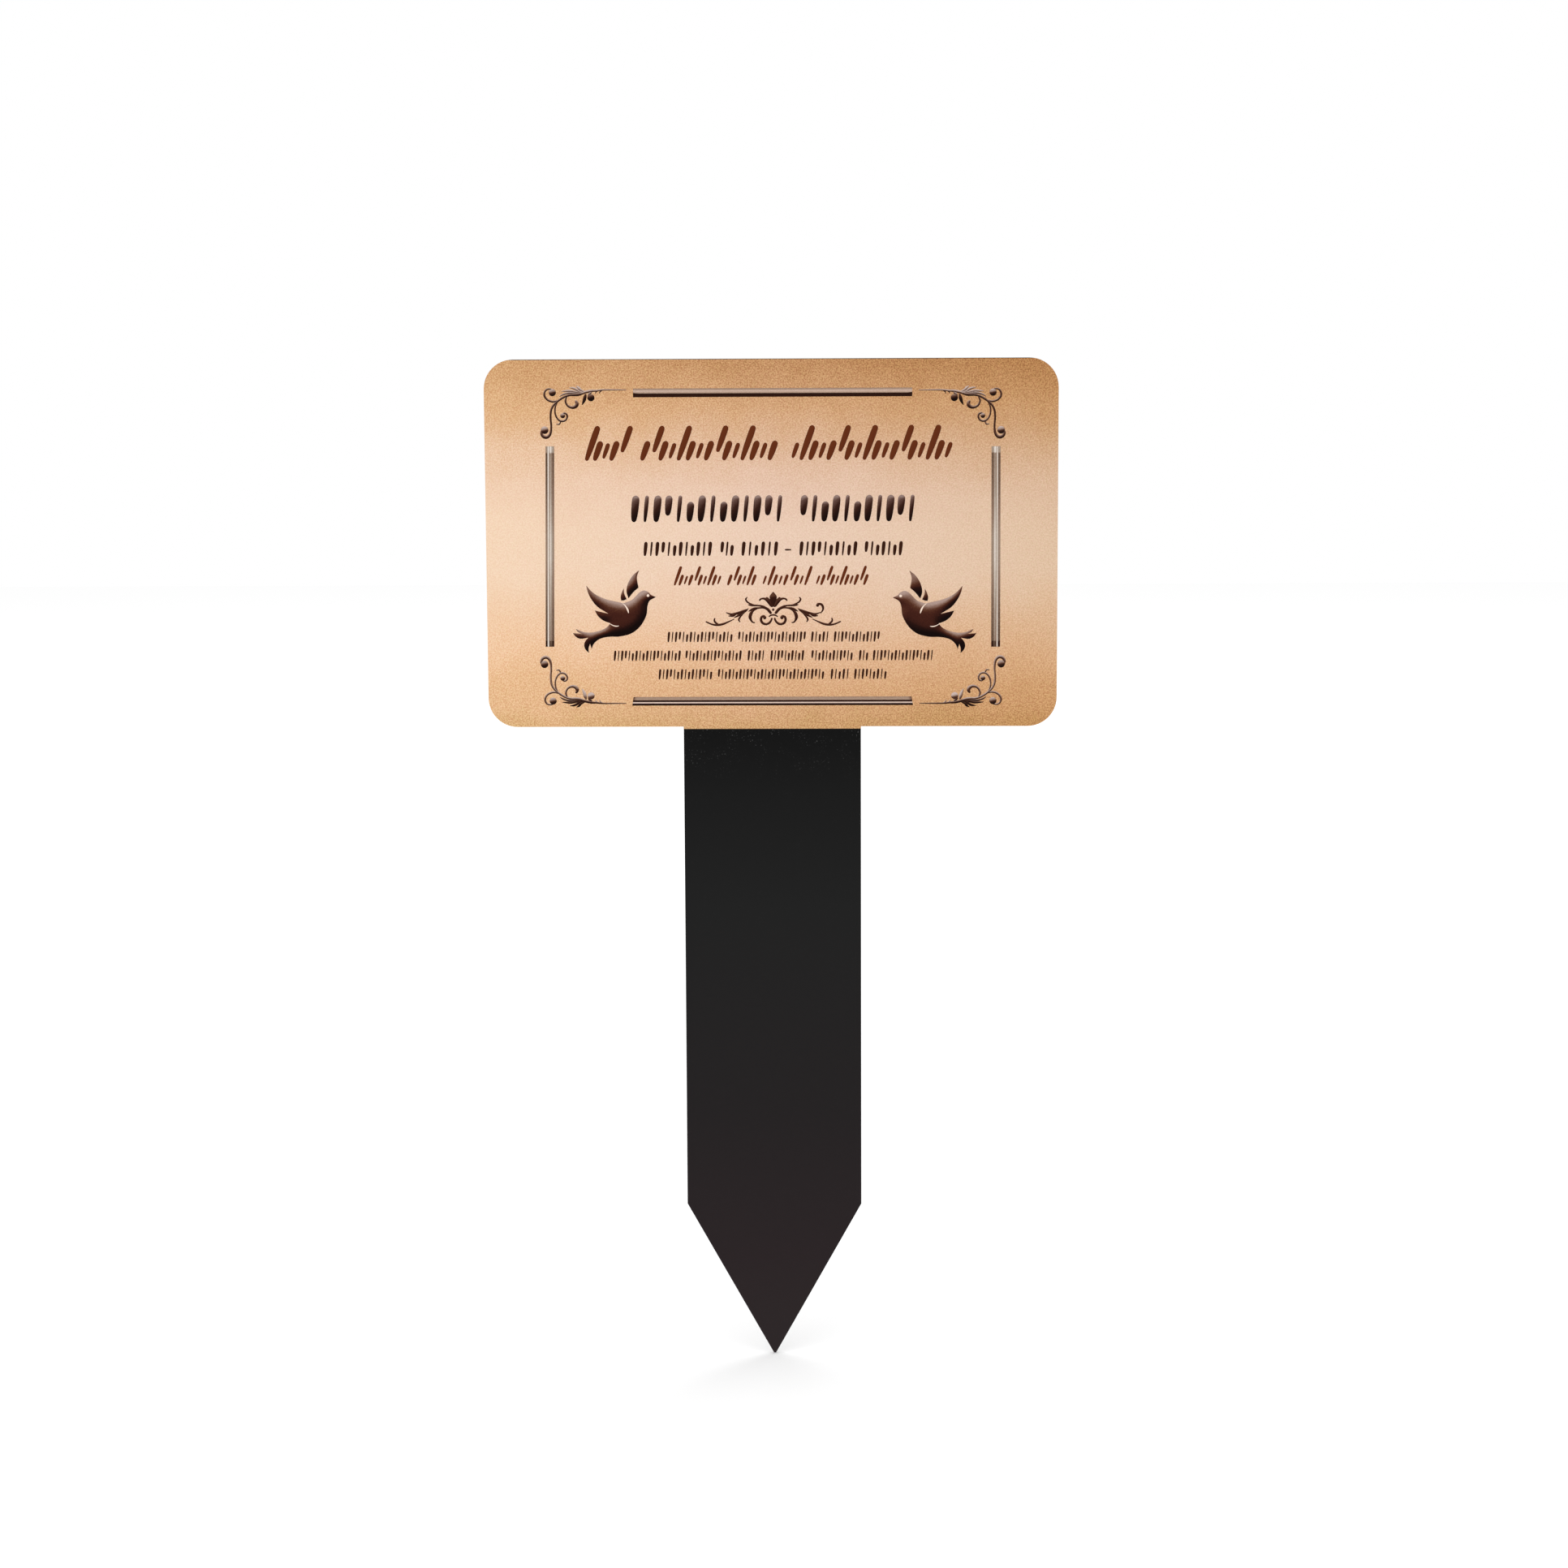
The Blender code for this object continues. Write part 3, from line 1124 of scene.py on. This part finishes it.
    def fill(self, points: tuple[tuple[float, ...], ...]) -> Piece:
        """Fill an outline with small triangles, shade it and give it thickness.

        Args:
            points: The outline's points.

        Returns:
            A closed mesh object.
        """
        line = self.outline(points)
        turned = np.roll(line, -1, axis=0)
        if (line[:, 0] * turned[:, 1] - turned[:, 0] * line[:, 1]).sum() < 0:
            line = line[::-1]
        low, high = line.min(axis=0), line.max(axis=0)
        columns = np.arange(low[0], high[0], self.inner_step)
        rows = np.arange(low[1], high[1], self.inner_step)
        odd = self.inner_step / 2
        grid = np.array([(a + (k % 2) * odd, b) for k, b in enumerate(rows) for a in columns])
        far = np.sqrt(((grid[:, None, :] - line[None, :, :]) ** 2).sum(axis=2)).min(axis=1)
        grid = grid[far > self.inner_step * self.clear_share]
        count = len(line)
        edges = [(i, (i + 1) % count) for i in range(count)]
        points_in = [Vector(place) for place in np.vstack([line, grid])]
        found = delaunay_2d_cdt(points_in, edges, [], 1, self.weld)
        places = np.array([tuple(p) for p in found[0]])
        mesh = bpy.data.meshes.new(self.name)
        depth = FILM_Y - self.thickness * MM
        corners = [(a * MM, depth, HEAD_LOW_Z + b * MM) for a, b in places]
        mesh.from_pydata(corners, [], [tuple(face) for face in found[2]])
        part = new_object(self.name, mesh)
        soft = self.edge_pull(places, line, self.soft_edge) @ np.array(self.light)
        crisp = self.edge_pull(places, line, self.crisp_edge) @ np.array(self.light)
        write_tone(part, self.middle_tone + self.soft_tone * soft + self.crisp_tone * crisp)
        thicken(part, self.thickness * LAYER_DEPTH * MM)
        return part

    def build(self) -> list[Piece]:
        """Model the figure and its cream lines.

        Returns:
            The two pieces.
        """
        parts = [self.fill(shape) for shape in (self.figure, self.far_wing, self.feather)]
        figure = dress(join_pieces(parts, self.name), DOVE_INK)
        bpy.ops.object.shade_smooth_by_angle(angle=math.radians(self.sharp_angle))
        name = f"{self.name}_cream_lines"
        layer = InkLayer(name, CREAM_INK, self.place, self.cream_flatness, slot=Slot.BRONZE_PRINT)
        layer.add_strokes(self.cream)
        layer.add_balls([self.eye])
        return [figure, layer.finish_piece()]


class Mark(Enum):
    """The kinds of stroke in a row: how high each starts and ends, and how heavy it is."""

    BROAD = (0.0, 1.0, 1.0)
    SLIM = (0.0, 1.0, 0.55)
    STUB = (0.0, 0.76, 0.95)
    HUNG = (0.24, 1.0, 0.95)
    SMALL = (0.0, 0.56, 1.0)
    SLIGHT = (0.06, 0.5, 0.7)


MIXED_MARKS = (Mark.BROAD, Mark.SMALL, Mark.SLIGHT, Mark.SMALL, Mark.HUNG, Mark.SMALL, Mark.SLIGHT)


@dataclass
class StrokeRow:
    """One row of tapered strokes that all lean one way, in millimetres.

    Base and height place the row, and runs say where its groups start and end. Weight is a full
    stroke's width, pitch the distance between strokes, and lean the share of the height that they
    lean by. Taper is a stroke's width from top to foot. A dash is a short level stroke: where it
    starts and ends, and how far above the base it lies.
    """

    name: str
    base: float
    height: float
    runs: tuple[Pair, ...]
    weight: float
    pitch: float
    lean: float
    finish: Ink
    pattern: tuple[Mark, ...] = (
        Mark.BROAD, Mark.SLIM, Mark.BROAD, Mark.HUNG, Mark.SLIM, Mark.STUB, Mark.BROAD, Mark.SLIM,
        Mark.STUB,
    )
    taper: tuple[float, ...] = (0.85, 1.0, 1.0, 0.95, 0.82, 0.55)
    step: float = 0.25
    flatness: float = 0.12
    contrast: float = 0.25
    top_light: float = 0.0
    top_light_middle: float = 0.45
    dash: Triple | None = None
    dash_widths: Pair = (0.35, 0.5)
    dash_shoulder: float = 0.6

    def run_strokes(self, start: float, end: float, first: int) -> list[Stroke]:
        """Set strokes side by side from one end of a run to the other.

        Args:
            start: Where the run starts, across.
            end: Where it ends.
            first: Where in the pattern it starts.

        Returns:
            The strokes.
        """
        span = end - start - self.weight
        count = max(1, round(span / self.pitch))
        strokes = []
        for i in range(count + 1 if span > self.pitch / 2 else 1):
            low, high, heavy = self.pattern[(first + i) % len(self.pattern)].value
            foot = start + self.weight / 2 + span * i / max(count, 1)
            path = []
            for k, part in enumerate(self.taper):
                t = k / (len(self.taper) - 1)
                level = low + (high - low) * (1 - t)
                shift = self.lean * self.height * (level - 0.5)
                path.append((foot + shift, self.base + self.height * level, self.weight * heavy * part))
            strokes.append(Stroke(tuple(path)))
        return strokes

    def build(self) -> Piece:
        """Model the row.

        Returns:
            The row.
        """
        layer = InkLayer(
            self.name, self.finish, flatness=self.flatness, step=self.step, contrast=self.contrast
        )
        strokes = []
        for number, (start, end) in enumerate(self.runs):
            strokes += self.run_strokes(start, end, 3 * number)
        if self.dash:
            start, end, rise = self.dash
            thin, thick = self.dash_widths
            level = self.base + rise
            shoulder = (start + self.dash_shoulder, level, thick)
            strokes.append(Stroke(((start, level, thin), shoulder, (end, level, thin))))
        layer.add_strokes(strokes)
        piece = layer.finish_piece()
        if self.top_light:
            self.light_from_top(piece)
        return piece

    def light_from_top(self, piece: Piece) -> None:
        """Make the tone lighter towards the top of the row.

        Args:
            piece: The finished row.
        """
        values = np.zeros(len(piece.data.vertices))
        layer = piece.data.attributes[TONE]
        layer.data.foreach_get("value", values)
        up = (vertex_array(piece, "co")[:, 2] - HEAD_LOW_Z) / MM
        share = np.clip((up - self.base) / self.height, 0.0, 1.0)
        values = np.clip(values + self.top_light * (share - self.top_light_middle), 0.0, 1.0)
        layer.data.foreach_set("value", values.astype(np.float32))


@dataclass
class Border:
    """The printed border: four bars and four corner scrolls."""

    corners: tuple[tuple[str, Place], ...] = (
        ("upper_left", Place(0.3, 48.85, True, False)),
        ("upper_right", Place(0.6, 48.5, False, False)),
        ("lower_left", Place(-0.58, 49.0, True, True)),
        ("lower_right", Place(0.9, 48.85, False, True)),
    )

    def build(self) -> None:
        """Model the bars and the scrolls."""
        top = (
            Band(0.0, 0.38, 0.55, 0.57), Band(0.38, 0.8, 0.66, 0.82), Band(0.8, 1.36, 0.76, 0.54),
            Band(1.35, 2.33, 0.09, 0.09, flare=0.18),
        )
        bottom = (
            Band(0.0, 0.42, 0.54, 0.57), Band(0.42, 0.91, 0.6, 0.55),
            Band(0.91, 1.4, 0.08, 0.08, follow=0.0), Band(1.4, 1.78, 0.84, 0.86, follow=0.0),
            Band(1.78, 2.36, 0.02, 0.02, follow=0.0),
        )
        left = (
            Band(0.0, 0.53, 0.31, 0.32), Band(0.53, 0.93, 0.9, 0.9, follow=0.0),
            Band(0.93, 1.25, 0.5, 0.44), Band(1.25, 1.5, 0.66, 0.64, follow=1.7),
            Band(1.5, 1.82, 0.53, 0.43), Band(1.82, 2.32, 0.4, 0.32),
        )
        right = (
            Band(0.0, 0.55, 0.34, 0.37), Band(0.55, 0.77, 0.43, 0.5),
            Band(0.77, 1.05, 0.64, 0.62, follow=1.7), Band(1.05, 1.25, 0.54, 0.52, follow=1.6),
            Band(1.25, 1.43, 0.49, 0.52, follow=0.6), Band(1.43, 1.77, 0.87, 0.84, follow=0.0),
            Band(1.77, 2.4, 0.36, 0.34),
        )
        # How much lighter or darker the bars are along their length, in millimetres from an end.
        end_shade = ((0.0, -0.3), (0.5, -0.12), (1.1, 0.0), (75.5, 0.0), (76.1, -0.12), (76.6, -0.3))
        side_shade = (
            (0.0, -0.22), (1.62, -0.2), (1.64, -0.06), (10.0, 0.0), (24.0, 0.17), (30.0, 0.17),
            (42.0, 0.02), (52.3, -0.04), (52.7, 0.2), (54.3, 0.24),
        )
        FrameBar("frame_bar_top", (-37.15, 89.48), (38.1, 91.72), False, top).build()
        FrameBar("frame_bar_bottom", (-38.2, 5.8), (38.4, 8.18), False, bottom, end_shade, mitre=0.4).build()
        grey = {"along_tones": side_shade, "finish": SIDE_BAR_INK}
        FrameBar("frame_bar_left", (-60.97, 22.0), (-58.67, 76.3), True, left, splay=0.68, **grey).build()
        FrameBar("frame_bar_right", (59.52, 21.7), (61.92, 75.9), True, right, splay=-0.12, **grey).build()
        for corner, place in self.corners:
            CornerScroll(f"corner_scroll_{corner}", place).build()


@dataclass
class RowField:
    """The seven rows of strokes on the face."""

    def build(self) -> None:
        """Model each row."""
        slender = {"weight": 0.62, "pitch": 0.99, "lean": 0.1, "finish": UMBER_INK}
        rows = (
            StrokeRow(
                "stroke_row_1", 72.4, 9.3, ((-49.2, -38.6), (-34.2, 2.0), (6.4, 49.5)),
                1.75, 2.5, 0.36, RUSSET_INK, MIXED_MARKS,
            ),
            StrokeRow(
                "stroke_row_2", 55.8, 7.15, ((-38.0, 3.2), (7.7, 39.0)),
                2.1, 3.0, 0.1, BEVELLED_INK, contrast=0.3, top_light=0.6,
            ),
            StrokeRow(
                "stroke_row_3", 46.6, 3.85,
                ((-34.7, -16.2), (-13.9, -10.2), (-8.1, 1.7), (7.6, 23.2), (25.2, 35.5)),
                1.0, 1.62, 0.1, UMBER_INK, dash=(3.6, 5.4, 1.6),
            ),
            StrokeRow(
                "stroke_row_4", 38.6, 5.2, ((-25.9, -13.4), (-11.4, -4.0), (-1.9, 10.4), (12.6, 26.4)),
                0.86, 1.36, 0.36, RUSSET_INK, MIXED_MARKS,
            ),
            StrokeRow(
                "stroke_row_5", 23.15, 2.85,
                ((-28.4, -10.7), (-9.2, 9.2), (10.7, 15.4), (16.9, 29.3)), **slender,
            ),
            StrokeRow(
                "stroke_row_6", 18.05, 2.85,
                (
                    (-43.1, -24.9), (-23.6, -8.3), (-6.6, -2.1), (-0.4, 8.7), (10.7, 22.0), (23.7, 26.2),
                    (27.5, 43.8),
                ), **slender,
            ),
            StrokeRow(
                "stroke_row_7", 12.95, 2.85,
                ((-30.9, -16.3), (-14.8, 14.2), (16.0, 20.9), (22.4, 31.2)), **slender,
            ),
        )
        for row in rows:
            row.build()


@dataclass
class Studio:
    """The pale floor, the white surround, the soft lights and the camera."""

    floor_z: float = -0.1152
    floor_size: Pair = (7.0, 5.0)
    floor_back: float = 0.9
    # Matt white paper scatters light evenly and shows no gloss.
    floor_colour: str = "#fafafa"
    floor_roughness: float = 0.9
    # Each softbox is a name, its place, the point that it faces, its side in metres and its watts.
    softboxes: tuple[tuple[str, Triple, Triple, float, float], ...] = (
        ("overhead_softbox", (0.0, 0.3, 2.2), (0.0, 0.0, -0.1), 3.0, 14.0),
        ("front_softbox", (-0.9, -1.6, 1.5), (0.0, 0.0, 0.1), 1.2, 2.0),
        ("rear_softbox", (1.0, 1.5, 0.5), (0.0, 0.0, 0.1), 0.8, 5.0),
    )
    # How strong the surround looks in a gloss, so that it doesn't grey the black coat.
    glossy_share: float = 0.3
    # The camera's lens in millimetres, its turns in degrees, and where the face lies before it.
    lens: float = 72.67
    clip_start: float = 0.01
    pitch: float = 7.2335
    yaw: float = -1.0798
    roll: float = 0.2348
    shift_across: float = -3.205
    shift_up: float = 15.695
    distance: float = 864.35

    def build(self) -> None:
        """Set the whole stage."""
        bpy.context.scene.view_settings.view_transform = "Standard"
        self.floor()
        self.world()
        for softbox in self.softboxes:
            self.lamp(*softbox)
        self.camera()

    def floor(self) -> None:
        """A wide flat floor just under the tip, pale enough to meet the white surround."""
        deselect_all()
        bpy.ops.mesh.primitive_plane_add(size=1.0, location=(0.0, self.floor_back, self.floor_z))
        floor = bpy.context.object
        floor.name = "studio_floor"
        floor.scale = (*self.floor_size, 1.0)
        bpy.ops.object.transform_apply(location=True, rotation=True, scale=True)
        material, _, shader = new_material("matt_white_paper", self.floor_roughness, 0.0)
        shader.inputs["Base Color"].default_value = linear(self.floor_colour)
        floor.data.materials.append(material)

    def world(self) -> None:
        """An even white surround."""
        world = bpy.data.worlds.new("white_surround")
        world.use_nodes = True
        bpy.context.scene.world = world
        tree = world.node_tree
        tree.nodes.clear()
        path = add_node(tree, "LightPath")
        sockets = {"Value": path.outputs["Is Glossy Ray"], "To Min": 1.0, "To Max": self.glossy_share}
        strength = add_node(tree, "MapRange", sockets)
        sockets = {"Color": (1.0, 1.0, 1.0, 1.0), "Strength": strength.outputs[0]}
        surround = add_node(tree, "Background", sockets)
        add_node(tree, "OutputWorld", {"Surface": surround.outputs[0]})

    def lamp(self, name: str, place: Triple, aim: Triple, size: float, power: float) -> None:
        """Hang a square softbox.

        Args:
            name: The lamp's name.
            place: Where it hangs.
            aim: The point it faces.
            size: The length of its sides.
            power: Its power in watts.
        """
        data = bpy.data.lights.new(name, "AREA")
        data.size = size
        data.energy = power
        lamp = new_object(name, data)
        lamp.location = place
        lamp.rotation_euler = (Vector(aim) - Vector(place)).to_track_quat("-Z", "Y").to_euler()

    def camera(self) -> None:
        """Stand the camera where the photograph was taken from."""
        data = bpy.data.cameras.new("photo_camera")
        data.lens = self.lens
        data.sensor_width = 36.0
        data.clip_start = self.clip_start
        camera = new_object("photo_camera", data)
        turn = (
            Matrix.Rotation(math.radians(self.roll), 4, "Z")
            @ Matrix.Rotation(math.radians(self.pitch), 4, "X")
            @ Matrix.Rotation(math.radians(self.yaw), 4, "Y")
        )
        # Turns the scene so that the face's across, up and outwards are the camera's own axes.
        face = Matrix(((1, 0, 0, 0), (0, 0, 1, -HEAD_LOW_Z), (0, -1, 0, FACE_Y), (0, 0, 0, 1)))
        away = Matrix.Translation((self.shift_across * MM, self.shift_up * MM, -self.distance * MM))
        camera.matrix_world = (away @ turn @ face).inverted()
        bpy.context.scene.camera = camera


def write_size() -> None:
    """Update the view layer.
    """
    bpy.context.view_layer.update()


def main() -> None:
    """Build the stage, the sheet and its print."""
    logging.basicConfig(level=logging.INFO, format="%(name)s: %(message)s")
    bpy.context.view_layer.update()
    Studio().build()
    sheet = Sheet()
    sheet.coat()
    sheet.lay_film()
    Border().build()
    Dove("dove_left", Place(0.0, -0.15)).build()
    Dove("dove_right", Place(1.4, -0.45, True)).build()
    CentreFlourish().build()
    RowField().build()
    write_size()


if __name__ == "__main__":
    main()
